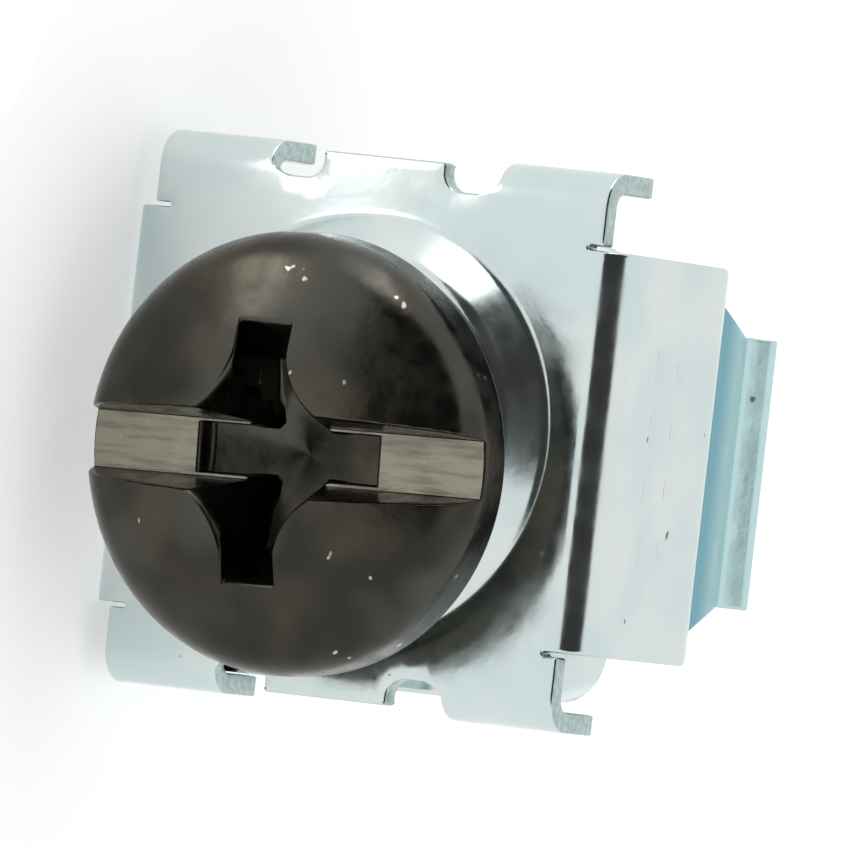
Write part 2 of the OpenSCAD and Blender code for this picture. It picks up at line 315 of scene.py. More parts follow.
def coinedMarks(x, y, c):
    # depth of the short bars pressed into the upper wall
    depth = 0.0
    for column in range(c["barColumns"]):
        centreX = c["barFirst"] + c["barStep"] * column
        for centreY, half in c["barRows"]:
            away = math.hypot(max(0.0, abs(x - centreX) - half), y - centreY)
            slope = min(1.0, max(0.0, (away - c["barHalfWidth"]) / c["barSlope"]))
            depth = max(depth, c["barDepth"] * (1 - slope))
    return depth


def makeCage(c, materials):
    outer, inner, faces = [], [], []
    sheet = c["sheet"]

    def addVert(p, n):
        # p on the outer face, n the way it looks, both as (x, y, z) with the plate face at y = 0
        outer.append((p[0], p[1] + plateFront, p[2]))
        inner.append((p[0] - n[0] * sheet, p[1] - n[1] * sheet + plateFront, p[2] - n[2] * sheet))
        return len(outer) - 1

    # the pressed ring, a turned strip
    segments = 160
    curve = ringCurve(c)
    rings = []
    for radius, height, a in curve:
        row = []
        for i in range(segments):
            t = 2 * math.pi * i / segments
            n = (math.sin(a) * math.cos(t), -math.cos(a), math.sin(a) * math.sin(t))
            row.append(addVert((radius * math.cos(t), -height, radius * math.sin(t)), n))
        rings.append(row)
    for a, b in zip(rings, rings[1:]):
        for i in range(segments):
            j = (i + 1) % segments
            faces.append((a[i], a[j], b[j], b[i]))

    # the flat plate round it, up to the fold lines
    wingColumns, tabColumns = 96, 14
    foldZ = c["halfZ"] - c["wingBend"]
    k = c["notchR"]
    notchLow = c["tabStart"] - k
    q = c["middleRound"]
    quarter = [(c["middleX"], z) for z in np.linspace(0, c["middleZ"] - q, 5)[1:]]
    quarter += [(c["middleX"] - q * (1 - math.cos(a)), c["middleZ"] - q + q * math.sin(a))
                for a in np.linspace(0, math.pi / 2, 4)[1:]]
    arcX = c["foldX"] + k
    quarter += [(arcX + k * math.cos(a), c["middleZ"] + k + k * math.sin(a))
                for a in np.linspace(math.radians(270), math.radians(180), 10)]
    tabEdge = [(c["foldX"], z) for z in np.linspace(notchLow, c["cornerZ"], tabColumns + 1)]
    quarter += tabEdge
    slitX = c["wallX"] + c["slit"]
    half = c["slit"] / 2
    quarter += [(x, c["cornerZ"]) for x in np.linspace(c["foldX"], slitX, 5)[1:]]
    slitZ = foldZ - c["slitDeep"] + half
    quarter += [(slitX - half + half * math.cos(a), slitZ - half * math.sin(a))
                for a in np.linspace(0, math.pi, 6)]
    wingEdge = [(x, foldZ) for x in np.linspace(c["wallX"], -c["wallX"], wingColumns + 1)]
    quarter += wingEdge[:1]
    loop = [(c["middleX"], 0.0)] + quarter + wingEdge[1:-1]
    loop += [(-x, z) for x, z in reversed(quarter)]
    loop += [(-c["middleX"], 0.0)]
    loop += [(-x, -z) for x, z in quarter]
    loop += [(x, -z) for x, z in reversed(wingEdge[1:-1])]
    loop += [(x, -z) for x, z in reversed(quarter)]
    count = len(loop)
    points = loop + ringPoints(c["ringOuter"], segments)
    edges = [(i, (i + 1) % count) for i in range(count)]
    edges += [(count + i, count + (i + 1) % segments) for i in range(segments)]
    outline = np.array(loop)

    def inside(x, z):
        a, b = outline, np.roll(outline, -1, axis=0)
        cross = (a[:, 1] > z) != (b[:, 1] > z)
        at = (b[:, 0] - a[:, 0]) * (z - a[:, 1]) / np.where(b[:, 1] == a[:, 1], 1, b[:, 1] - a[:, 1]) + a[:, 0]
        return (np.count_nonzero(cross & (x < at)) % 2) == 1

    spots = []
    for gx in np.arange(-5.6, 5.61, c["fill"]):
        for gz in np.arange(-5.2, 5.21, c["fill"]):
            if math.hypot(gx, gz) < c["ringOuter"] + 0.15 or not inside(gx, gz):
                continue
            if np.min(np.hypot(outline[:, 0] - gx, outline[:, 1] - gz)) > 0.16:
                spots.append((gx, gz))
    points += spots
    flat = delaunay_2d_cdt([Vector(p) for p in points], edges, [], 0, 1e-7, True)
    vertsOut, facesOut, origVerts = flat[0], flat[2], flat[3]
    index = {}
    for i, v in enumerate(vertsOut):
        origin = origVerts[i][0] if origVerts[i] else None
        if origin is not None and count <= origin < count + segments:
            index[i] = rings[-1][origin - count]
        else:
            index[i] = addVert((v.x, 0.0, v.y), (0, -1, 0))
    lookup = {(round(v.x, 5), round(v.y, 5)): index[i] for i, v in enumerate(vertsOut)}
    for f in facesOut:
        centre = sum((vertsOut[i] for i in f), Vector((0, 0))) / len(f)
        if centre.length < c["ringOuter"] * math.cos(math.pi / segments) or not inside(centre.x, centre.y):
            continue
        faces.append(tuple(index[i] for i in f))

    def find(x, z):
        return lookup[(round(x, 5), round(z, 5))]

    # two wings
    for sign in (1, -1):
        row = [find(x, sign * foldZ) for x, z in wingEdge]
        for y, z, ny, nz, w in wingPath(c):
            new = []
            for i in range(wingColumns + 1):
                x = w * (1 - 2 * i / wingColumns)
                dent = coinedMarks(x, y, c) if sign == 1 else 0.0
                v = addVert((x, y, sign * z), (0, ny, sign * nz))
                if dent:
                    outer[v] = (x, y + plateFront, z - dent)
                new.append(v)
            for i in range(wingColumns):
                faces.append((row[i], row[i + 1], new[i + 1], new[i]))
            row = new

    # four corner tabs
    for sx in (1, -1):
        for sz in (1, -1):
            row = [find(sx * x, sz * z) for x, z in tabEdge]
            for x, y, nx, ny, lo, hi in tabPath(c):
                new = [addVert((sx * x, y, sz * (lo + (hi - lo) * i / tabColumns)), (sx * nx, ny, 0))
                       for i in range(tabColumns + 1)]
                for i in range(tabColumns):
                    faces.append((row[i], row[i + 1], new[i + 1], new[i]))
                row = new

    # close the sheet: both faces and the sheared edge between them
    total = len(outer)
    uses = {}
    for f in faces:
        for a, b in zip(f, f[1:] + f[:1]):
            key = (min(a, b), max(a, b))
            uses[key] = uses.get(key, 0) + 1
    solid = [tuple(f) for f in faces] + [tuple(total + i for i in f) for f in faces]
    slots = [0] * len(solid)
    for (a, b), n in uses.items():
        if n == 1:
            solid.append((a, b, total + b, total + a))
            slots.append(1)
    obj = makeObject("foldedCage", outer + inner, solid, materials, slots)
    mesh = bmesh.new()
    mesh.from_mesh(obj.data)
    bmesh.ops.delete(mesh, geom=[v for v in mesh.verts if not v.link_faces], context="VERTS")
    bmesh.ops.recalc_face_normals(mesh, faces=mesh.faces)
    mesh.to_mesh(obj.data)
    mesh.free()
    bevel = obj.modifiers.new("edge", "BEVEL")
    bevel.width = c["edge"]
    bevel.segments = 2
    bevel.limit_method = "ANGLE"
    bevel.angle_limit = math.radians(50)
    bevel.use_clamp_overlap = False
    bevel.harden_normals = False
    return bakeModifiers(obj)


def startMaterial(name):
    m = bpy.data.materials.new(name)
    m.use_nodes = True
    return m, m.node_tree, m.node_tree.nodes["Principled BSDF"]


def objectPlace(tree, scale, place):
    # object coordinates in millimetres, stretched for the pattern
    where = addNode(tree, "ShaderNodeTexCoord", (place[0] - 400, place[1]))
    mapping = addNode(tree, "ShaderNodeMapping", (place[0] - 200, place[1]),
                      links={"Vector": where.outputs["Object"]})
    mapping.inputs["Scale"].default_value = tuple(1000 * v for v in scale)
    return mapping.outputs[0]


def mixColour(tree, place, factor, first, last):
    node = addNode(tree, "ShaderNodeMix", place, {"data_type": "RGBA"})
    for socket, value in ((node.inputs[0], factor), (node.inputs[6], first), (node.inputs[7], last)):
        if isinstance(value, (tuple, float, int)):
            socket.default_value = value
        else:
            tree.links.new(value, socket)
    return node.outputs[2]


def ramp(tree, place, value, low, high, first=0.0, last=1.0):
    node = addNode(tree, "ShaderNodeMapRange", place, {"interpolation_type": "SMOOTHSTEP"},
                   {"From Min": low, "From Max": high, "To Min": first, "To Max": last}, {"Value": value})
    return node.outputs[0]


def noise(tree, place, vector, scale, detail=2.0):
    return addNode(tree, "ShaderNodeTexNoise", place, inputs={"Scale": scale, "Detail": detail},
                   links={"Vector": vector}).outputs[0]


zincLook = {
    "name": "blueBrightZincOnSpringSteel",   # clear blue passivation: mirror bright, faintly teal
    "plate": "#d2dad8",
    "cloud": "#c8d5d5",
    # neck and hook: painted reflection, the wing necks darker and bluer where they mirror the hooks' shaded
    # faces, easing to a light blue towards the hooks
    "neck": "#6b9fab",
    "hook": "#b9d6d7",
    "pit": "#6b767a",
    "roughness": (0.13, 0.22),
    "cloudSize": 0.35,      # waves per mm
    "peelSize": 5.0,        # orange peel of the rolled sheet, drawn about twice as coarse as it is
    "pitSize": 1.6,
    "shoulderAt": plateFront + cageSizes["shoulder"],
}


def zincMaterial(c):
    m, tree, shader = startMaterial(c["name"])
    spot = objectPlace(tree, (1, 1, 1), (-1400, 0))
    cloud = ramp(tree, (-900, 200), noise(tree, (-1100, 200), spot, c["cloudSize"]), 0.4, 0.62)
    base = mixColour(tree, (-500, 200), cloud, toLinear(c["plate"]), toLinear(c["cloud"]))
    split = addNode(tree, "ShaderNodeSeparateXYZ", (-1100, -500), links={"Vector": spot})
    y = split.outputs[1]
    # painted reflection on the wing necks: darker blue from the shoulder on, a light blue again towards the hooks
    neck = ramp(tree, (-900, -400), y, c["shoulderAt"] + 0.05, c["shoulderAt"] + 0.5)
    hook = ramp(tree, (-900, -600), y, c["shoulderAt"] + 2.3, c["shoulderAt"] + 3.7)
    neckReflectionTint = mixColour(tree, (-500, -400), hook, toLinear(c["neck"]), toLinear(c["hook"]))
    base = mixColour(tree, (-300, 100), neck, base, neckReflectionTint)
    pits = ramp(tree, (-900, -900), noise(tree, (-1100, -900), spot, c["pitSize"], 1.0), 0.775, 0.80)
    base = mixColour(tree, (-150, 100), pits, base, toLinear(c["pit"]))
    tree.links.new(base, shader.inputs["Base Color"])
    shader.inputs["Metallic"].default_value = 1
    rough = ramp(tree, (-500, -150), noise(tree, (-900, -150), spot, 1.1, 3.0), 0.35, 0.65, *c["roughness"])
    tree.links.new(rough, shader.inputs["Roughness"])
    peel = noise(tree, (-900, -1200), spot, c["peelSize"], 3.0)
    wave = noise(tree, (-900, -1400), spot, 0.8, 1.0)
    first = addNode(tree, "ShaderNodeBump", (-500, -1200), inputs={"Strength": 0.10, "Distance": 0.00002},
                    links={"Height": peel})
    both = addNode(tree, "ShaderNodeBump", (-300, -1200), inputs={"Strength": 0.25, "Distance": 0.00005},
                   links={"Height": wave, "Normal": first.outputs[0]})
    tree.links.new(both.outputs[0], shader.inputs["Normal"])
    return m


edgeLook = {
    "name": "shearedZincPlatedEdge",   # the torn band of a press cut under the plating: duller and greener
    "light": "#b5c6c3",
    "dark": "#9db2af",
    "roughness": 0.36,
}


def edgeMaterial(c):
    m, tree, shader = startMaterial(c["name"])
    spot = objectPlace(tree, (1, 1, 1), (-900, 0))
    torn = noise(tree, (-600, 0), spot, 7.0, 3.0)
    base = mixColour(tree, (-300, 100), ramp(tree, (-450, 100), torn, 0.35, 0.65),
                     toLinear(c["light"]), toLinear(c["dark"]))
    tree.links.new(base, shader.inputs["Base Color"])
    shader.inputs["Metallic"].default_value = 1
    shader.inputs["Roughness"].default_value = c["roughness"]
    bump = addNode(tree, "ShaderNodeBump", (-300, -300), inputs={"Strength": 0.3, "Distance": 0.00003},
                   links={"Height": torn})
    tree.links.new(bump.outputs[0], shader.inputs["Normal"])
    return m


nickelLook = {
    "name": "blackNickelOnSteel",   # thin dark plating over a forged head: smoky, warm, speckled
    "smoke": "#4d4c46",
    "brown": "#504a40",
    "dark": "#35342f",
    "struck": "#8f8b7d",
    "speck": "#b9b4a6",
    "roughness": (0.2, 0.34),
    "floorAt": (-8.0, -7.6),      # the slot's floor, where the punch left it lighter, mm
}


def nickelMaterial(c):
    m, tree, shader = startMaterial(c["name"])
    spot = objectPlace(tree, (1, 1, 1), (-1600, 0))
    broad = ramp(tree, (-900, 300), noise(tree, (-1100, 300), spot, 0.3, 2.0), 0.42, 0.62)
    warm = ramp(tree, (-900, 100), noise(tree, (-1100, 100), spot, 0.35, 2.0), 0.45, 0.75)
    base = mixColour(tree, (-700, 300), broad, toLinear(c["smoke"]), toLinear(c["dark"]))
    base = mixColour(tree, (-550, 300), warm, base, toLinear(c["brown"]))
    split = addNode(tree, "ShaderNodeSeparateXYZ", (-1300, -300), links={"Vector": spot})
    face = addNode(tree, "ShaderNodeNewGeometry", (-1600, -500))
    looks = addNode(tree, "ShaderNodeSeparateXYZ", (-1300, -500), links={"Vector": face.outputs["Normal"]})
    flat = ramp(tree, (-1100, -500), looks.outputs[1], -0.93, -0.985)
    below = ramp(tree, (-1100, -300), split.outputs[1], c["floorAt"][0] - 0.12, c["floorAt"][0])
    above = ramp(tree, (-1100, -150), split.outputs[1], c["floorAt"][1] + 0.12, c["floorAt"][1])
    struck = addNode(tree, "ShaderNodeMath", (-900, -400), {"operation": "MULTIPLY"},
                     links={0: flat, 1: below}).outputs[0]
    struck = addNode(tree, "ShaderNodeMath", (-750, -400), {"operation": "MULTIPLY"},
                     links={0: struck, 1: above}).outputs[0]
    scratch = objectPlace(tree, (6, 6, 0.8), (-1600, -800))
    drag = noise(tree, (-1100, -800), scratch, 1.0, 4.0)
    struck = addNode(tree, "ShaderNodeMath", (-600, -400), {"operation": "MULTIPLY"},
                     links={0: struck, 1: ramp(tree, (-900, -800), drag, 0.3, 0.6, 0.55, 1.0)}).outputs[0]
    base = mixColour(tree, (-400, 300), struck, base, toLinear(c["struck"]))
    speck = ramp(tree, (-900, -1100), noise(tree, (-1100, -1100), spot, 2.6, 1.0), 0.765, 0.8)
    base = mixColour(tree, (-250, 300), speck, base, toLinear(c["speck"]))
    tree.links.new(base, shader.inputs["Base Color"])
    shader.inputs["Metallic"].default_value = 1
    rough = ramp(tree, (-500, -150), noise(tree, (-900, 500), spot, 1.6, 3.0), 0.35, 0.65, *c["roughness"])
    tree.links.new(rough, shader.inputs["Roughness"])
    peel = noise(tree, (-900, -1400), spot, 3.2, 3.0)
    bump = addNode(tree, "ShaderNodeBump", (-500, -1400), inputs={"Strength": 0.22, "Distance": 0.00003},
                   links={"Height": peel})
    drags = addNode(tree, "ShaderNodeBump", (-300, -1400), inputs={"Distance": 0.00003},
                    links={"Height": drag, "Normal": bump.outputs[0], "Strength": struck})
    tree.links.new(drags.outputs[0], shader.inputs["Normal"])
    return m


zinc, edgeZinc, nickel = zincMaterial(zincLook), edgeMaterial(edgeLook), nickelMaterial(nickelLook)
cage = makeCage(cageSizes, [zinc, edgeZinc])
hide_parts("cage")
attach(cage, "cage")
print("cage folded:", len(cage.data.polygons), "faces")

# threads: one tree winds both the screw's thread and the nut's
threadSizes = {
    "pitch": 0.8,
    "crest": 2.5,
    "root": 2.02,
    "nutCrest": 2.53,
    "nutRoot": 2.1,
    "mouth": 2.8,          # countersink at the nut's faces
    "tip": 1.9,
    "neck": 2.2,
    "columns": 96,
    "rowsPerTurn": 12,
}


def threadTree():
    # a sheet of rows that climb one pitch each turn, so that crest and root run true
    tree = bpy.data.node_groups.new("windThread", "GeometryNodeTree")
    face = tree.interface
    for name, kind, value in (
        ("start", "NodeSocketFloat", 0.0), ("length", "NodeSocketFloat", 12.0),
        ("pitch", "NodeSocketFloat", 0.8), ("root", "NodeSocketFloat", 2.0),
        ("crest", "NodeSocketFloat", 2.5), ("startRadius", "NodeSocketFloat", 2.2),
        ("endRadius", "NodeSocketFloat", 1.9), ("inside", "NodeSocketBool", False),
        ("columns", "NodeSocketInt", 96), ("rows", "NodeSocketInt", 150),
        ("metal", "NodeSocketMaterial", None),
    ):
        socket = face.new_socket(name=name, in_out="INPUT", socket_type=kind)
        if value is not None:
            socket.default_value = value
    face.new_socket(name="mesh", in_out="OUTPUT", socket_type="NodeSocketGeometry")
    give = addNode(tree, "NodeGroupInput", (-1400, 0))

    def calc(operation, place, a, b=None, c=None):
        node = addNode(tree, "ShaderNodeMath", place, {"operation": operation})
        for slot, value in enumerate((a, b, c)):
            if value is None:
                continue
            if isinstance(value, (int, float)):
                node.inputs[slot].default_value = value
            else:
                tree.links.new(value, node.inputs[slot])
        return node.outputs[0]

    g = give.outputs
    grid = addNode(tree, "GeometryNodeMeshGrid", (-1100, 300), inputs={"Size X": 1.0, "Size Y": 1.0},
                   links={"Vertices X": g["columns"], "Vertices Y": g["rows"]})
    where = addNode(tree, "GeometryNodeInputPosition", (-1100, 0))
    split = addNode(tree, "ShaderNodeSeparateXYZ", (-900, 0), links={"Vector": where.outputs[0]})
    u = calc("ADD", (-700, 100), split.outputs[0], 0.5)
    v = calc("ADD", (-700, -100), split.outputs[1], 0.5)
    span = calc("MULTIPLY_ADD", (-700, -300), g["pitch"], 1.0, g["length"])
    rowZ = calc("MULTIPLY_ADD", (-500, -200), v, span, calc("SUBTRACT", (-700, -450), g["start"], g["pitch"]))
    z = calc("MULTIPLY_ADD", (-300, -100), u, g["pitch"], rowZ)
    end = calc("ADD", (-500, -450), g["start"], g["length"])
    z = calc("MINIMUM", (-100, -100), calc("MAXIMUM", (-200, -100), z, g["start"]), end)
    turn = calc("FRACT", (-300, -300), calc("DIVIDE", (-400, -300), rowZ, g["pitch"]))
    offMiddle = calc("ABSOLUTE", (-200, -300), calc("SUBTRACT", (-250, -300), turn, 0.5))
    wave = calc("MULTIPLY", (-100, -300), offMiddle, 2.0)
    flank = addNode(tree, "ShaderNodeMapRange", (0, -300),
                    inputs={"From Min": 0.2, "From Max": 0.87}, links={"Value": wave})
    depth = calc("SUBTRACT", (0, -500), g["crest"], g["root"])
    radius = calc("MULTIPLY_ADD", (150, -300), flank.outputs[0], depth, g["root"])
    fromStart = calc("SUBTRACT", (0, 50), z, g["start"])
    fromEnd = calc("SUBTRACT", (0, -100), end, z)
    boltEnds = calc("MINIMUM", (250, 0), calc("ADD", (150, 50), g["startRadius"], fromStart),
                    calc("ADD", (150, -50), g["endRadius"], fromEnd))
    bolt = calc("MINIMUM", (350, 0), radius, boltEnds)
    nutEnds = calc("MAXIMUM", (250, -200), calc("SUBTRACT", (150, -150), g["startRadius"], fromStart),
                   calc("SUBTRACT", (150, -250), g["endRadius"], fromEnd))
    nut = calc("MAXIMUM", (350, -200), radius, nutEnds)
    pick = addNode(tree, "GeometryNodeSwitch", (500, -100), {"input_type": "FLOAT"},
                   links={"Switch": g["inside"], "False": bolt, "True": nut})
    angle = calc("MULTIPLY", (350, 200), u, 2 * math.pi)
    x = calc("MULTIPLY", (650, 100), calc("COSINE", (500, 200), angle), pick.outputs[0])
    y = calc("MULTIPLY", (650, -50), calc("SINE", (500, 50), angle), pick.outputs[0])
    spot = addNode(tree, "ShaderNodeCombineXYZ", (800, 0), links={"X": x, "Y": y, "Z": z})
    wound = addNode(tree, "GeometryNodeSetPosition", (950, 200),
                    links={"Geometry": grid.outputs[0], "Position": spot.outputs[0]})
    weld = addNode(tree, "GeometryNodeMergeByDistance", (1100, 200), inputs={"Distance": 0.0005},
                   links={"Geometry": wound.outputs[0]})
    real = addNode(tree, "GeometryNodeRealizeInstances", (1250, 200), links={"Geometry": weld.outputs[0]})
    coat = addNode(tree, "GeometryNodeSetMaterial", (1400, 200),
                   links={"Geometry": real.outputs[0], "Material": g["metal"]})
    addNode(tree, "NodeGroupOutput", (1550, 200), links={"mesh": coat.outputs[0]})
    return tree


windThread = threadTree()


def threadRows(length):
    # rows of points for a thread of this length and the pitch that runs out before it
    return int((length / threadSizes["pitch"] + 1) * threadSizes["rowsPerTurn"]) + 1


def makeThread(name, material, **values):
    # a thread in millimetres, along +Z of its own frame, as a plain mesh
    obj = makeObject(name, [(0, 0, 0)], [], [material])
    wind = obj.modifiers.new("wind", "NODES")
    wind.node_group = windThread
    values["metal"] = material
    for item in windThread.interface.items_tree:
        if item.in_out == "INPUT" and item.name in values:
            wind[item.identifier] = values[item.name]
    return bakeModifiers(obj, 1.0)


# the loose nut and screw lean in the cage
looseSizes = {
    "lean": math.radians(3),
    "shiftX": 0.4745,
    "shiftZ": -0.29,
    "nutY": plateFront + 2.7,
    "seat": 3.7518,        # from the middle of the nut to the seat of the head
}


def toRow(a, b, height):
    # height above the seat towards the head, a and b across it, to the row frame in mm
    q = looseSizes
    x, y, z = a, -height - q["seat"], b
    c, s = math.cos(q["lean"]), math.sin(q["lean"])
    return (x * c - y * s + q["shiftX"], x * s + y * c + q["nutY"], z + q["shiftZ"])


def placeLoose(obj):
    # brings a mesh drawn along +Z of the screw's own frame to its place, in metres
    for v in obj.data.vertices:
        x, y, z = v.co
        v.co = Vector(toRow(x, y, -z))
    obj.data.transform(Matrix.Scale(mm, 4))
    obj.data.update()


screwSizes = {
    "headR": 4.75,
    "headH": 3.2,
    "domeR": 9.5,
    "shoulderR": 1.2,
    "rimBevel": 0.4,
    "length": 12.0,
    "turn": math.radians(1.2),
    "slotW": 1.25,
    "slotMouth": 1.8,
    "slotDepth": 1.9,
    "crossSize": 5.9,
    "armW": 1.3,
    "armDraft": 0.05,
    "crossDepth": 2.9,
    "endSlope": math.tan(math.radians(22)),
    "floorRise": 0.3,
    "rolledC": 2.4,
    "rolledGrow": 0.9,
    "round": 0.3,          # softening of the struck edges, in height
}


def softMin(a, b, k):
    h = np.clip(0.5 + 0.5 * (b - a) / k, 0, 1)
    return b + (a - b) * h - k * h * (1 - h)


def softMax(a, b, k):
    return -softMin(-a, -b, k)


def headHeight(a, b, c):
    # height of the head's top above its seat, with the struck recess
    r = np.hypot(a, b)
    edge = c["headR"] - c["shoulderR"]
    top = c["headH"] - c["domeR"]
    centre = top + math.sqrt((c["domeR"] - c["shoulderR"]) ** 2 - edge ** 2)
    join = c["domeR"] * edge / (c["domeR"] - c["shoulderR"])
    dome = top + np.sqrt(np.maximum(c["domeR"] ** 2 - r * r, 0))
    shoulder = centre + np.sqrt(np.maximum(c["shoulderR"] ** 2 - (r - edge) ** 2, 0))
    head = np.where(r < join, dome, shoulder)
    a, b = np.abs(a), np.abs(b)
    slotFloor = c["headH"] - c["slotDepth"]
    wallRun = (c["slotMouth"] - c["slotW"]) / 2
    slot = softMax(slotFloor, slotFloor + (a - c["slotW"] / 2) * c["slotDepth"] / wallRun, 0.12)
    floor = c["headH"] - c["crossDepth"] + c["floorRise"] * r

    def endWall(along):
        return c["headH"] - (c["crossSize"] / 2 - along) / c["endSlope"]

    def arm(along, across):
        side = c["headH"] - (c["armW"] / 2 - across) / c["armDraft"]
        return softMax(softMax(floor, endWall(along), 0.15), side, 0.25)

    away = np.hypot(c["rolledC"] - a, c["rolledC"] - b)
    rolled = c["headH"] - (away - (c["rolledC"] - c["armW"] / 2)) * c["crossDepth"] / c["rolledGrow"]
    rolled = softMax(softMax(floor, rolled, 0.1), np.maximum(endWall(a), endWall(b)), 0.1)
    rolled = np.where((a < c["rolledC"]) & (b < c["rolledC"]), rolled, 99.0)
    recess = np.minimum(np.minimum(arm(a, b), arm(b, a)), rolled)
    recess = softMin(recess, slot, 0.12)
    return softMin(head, recess, c["round"])


def spreadPoints(height, half, steps, tolerance, keep):
    # points for a triangle mesh, close together only where the surface bends
    found = {}
    for step in steps:
        n = int(math.ceil(half / step))
        line = np.arange(-n, n + 1) * step
        x, y = np.meshgrid(line, line, indexing="ij")
        if step == steps[0]:
            wanted = np.ones_like(x, bool)
        else:
            h = height(x, y)
            bend = np.zeros_like(h)
            for d in (1, 2):
                core = h[d:-d, :] * 2 - h[2 * d:, :] - h[:-2 * d, :]
                bend[d:-d, :] = np.maximum(bend[d:-d, :], np.abs(core))
                core = h[:, d:-d] * 2 - h[:, 2 * d:] - h[:, :-2 * d]
                bend[:, d:-d] = np.maximum(bend[:, d:-d], np.abs(core))
            wanted = bend > tolerance
        wanted &= keep(x, y, step)
        for px, py in zip(x[wanted], y[wanted]):
            found[(round(px, 4), round(py, 4))] = True
    return list(found)


def heightMesh(height, loops, points, inside, slope=0.003):
    # triangles over a region, lifted to the height, with normals from its slope
    flatPoints, edges = [], []
    for loop in loops:
        base = len(flatPoints)
        flatPoints += loop
        edges += [(base + i, base + (i + 1) % len(loop)) for i in range(len(loop))]
    flatPoints += points
    result = delaunay_2d_cdt([Vector(p) for p in flatPoints], edges, [], 0, 1e-6, True)
    xy = np.array([(v.x, v.y) for v in result[0]])
    faces = []
    for f in result[2]:
        centre = xy[list(f)].mean(axis=0)
        if inside(centre[0], centre[1]):
            faces.append(tuple(f))
    z = height(xy[:, 0], xy[:, 1])
    gx = (height(xy[:, 0] + slope, xy[:, 1]) - height(xy[:, 0] - slope, xy[:, 1])) / (2 * slope)
    gy = (height(xy[:, 0], xy[:, 1] + slope) - height(xy[:, 0], xy[:, 1] - slope)) / (2 * slope)
    normals = np.stack([-gx, -gy, np.ones_like(gx)], axis=1)
    normals /= np.linalg.norm(normals, axis=1)[:, None]
    first = {}
    for i, origin in enumerate(result[3]):
        for o in origin:
            first[o] = i
    return xy, z, normals, faces, first


def makeHead(c, material):
    count = 288
    rim = ringPoints(c["headR"], count)
    edge = c["headR"] - c["shoulderR"]
    rings = []
    for a in (86, 81, 75, 68, 60, 52, 44, 36, 28):   # round the head's shoulder, degrees from its top
        r = edge + c["shoulderR"] * math.sin(math.radians(a))
        rings += ringPoints(r, count if a > 70 else count // 2)

    def height(x, y):
        return headHeight(x, y, c)

    def keep(x, y, step):
        r = np.hypot(x, y)
        return r < c["headR"] - max(0.02, 0.3 * step) if step < 0.1 else r < edge + 0.5

    points = spreadPoints(height, c["headR"], (0.24, 0.12, 0.06, 0.03), 0.004, keep)
    print("head points", len(points))
    xy, z, normals, faces, first = heightMesh(height, [rim], points + rings,
                                              lambda x, y: math.hypot(x, y) < c["headR"])
    verts = [(x, y, h) for (x, y), h in zip(xy, z)]
    normals = [tuple(n) for n in normals]
    row = [first[i] for i in range(count)]
    top = float(z[row[0]])
    for i, v in enumerate(row):
        normals[v] = (math.cos(2 * math.pi * i / count), math.sin(2 * math.pi * i / count), 0)
    b = c["rimBevel"]
    profile = [(c["headR"], top - 0.3, 1, 0), (c["headR"], b + 0.08, 1, 0)]
    for k in range(1, 5):
        a = math.radians(45 * k / 4)
        profile.append((c["headR"] - 0.2 * (1 - math.cos(a)), b + 0.083 - 0.2 * math.sin(a),
                        math.cos(a), -math.sin(a)))
    profile += [(c["headR"] - b + 0.06, 0.06, 0.7, -0.7), (c["headR"] - b, 0.01, 0.3, -0.95),
                (c["headR"] - b - 0.1, 0.0, 0, -1), (2.0, 0.0, 0, -1)]
    for r, h, nr, nz in profile:
        new = []
        for i in range(count):
            t = 2 * math.pi * i / count
            new.append(len(verts))
            verts.append((r * math.cos(t), r * math.sin(t), h))
            normals.append((nr * math.cos(t), nr * math.sin(t), nz))
        for i in range(count):
            j = (i + 1) % count
            faces.append((row[i], new[i], new[j], row[j]))
        row = new
    centre = len(verts)
    verts.append((0, 0, 0))
    normals.append((0, 0, -1))
    for i in range(count):
        faces.append((row[i], centre, row[(i + 1) % count]))
    t = c["turn"]
    ct, st = math.cos(t), math.sin(t)

    def place(x, y, h):
        return Vector(toRow(x * ct - y * st, x * st + y * ct, h))

    origin = place(0, 0, 0)
    turned = [(place(*n) - origin).normalized() for n in normals]
    obj = makeObject("screwHead", [place(*v) for v in verts], faces, [material])
    turnOutwards(obj)
    obj.data.normals_split_custom_set_from_vertices([tuple(n) for n in turned])
    obj.data.transform(Matrix.Scale(mm, 4))
    return obj


head = makeHead(screwSizes, nickel)
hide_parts("pan_head_screw")
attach(head, "screw")
print("head struck:", len(head.data.polygons), "faces")

t = threadSizes
shank = makeThread("threadedShank", nickel, start=0.0, length=screwSizes["length"], pitch=t["pitch"],
                   root=t["root"], crest=t["crest"], startRadius=t["neck"], endRadius=t["tip"],
                   inside=False, columns=t["columns"] + 1, rows=threadRows(screwSizes["length"]))
print("shank", len(shank.data.polygons))


def closeEnds(obj):
    # caps the open rims of a wound thread
    work = bmesh.new()
    work.from_mesh(obj.data)
    bmesh.ops.dissolve_degenerate(work, dist=1e-5, edges=work.edges)
    rims = [e for e in work.edges if e.is_boundary]
    bmesh.ops.holes_fill(work, edges=rims, sides=0)
    bmesh.ops.recalc_face_normals(work, faces=work.faces)
    work.to_mesh(obj.data)
    work.free()


closeEnds(shank)
placeLoose(shank)
shank.data.shade_smooth()
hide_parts("pan_head_screw")
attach(shank, "screw")

# square nut: a rounded block, coned on its hook side, with a wound bore
nutSizes = {
    "size": 9.9,
    "thick": 3.9072,
    "cornerR": 1.0,
    "faceR": 4.7,
    "slope": math.tan(math.radians(30)),
    "round": 0.04,
    "edge": 0.12,
    "skirt": 1.2,          # first step of the sides below the coned face
}


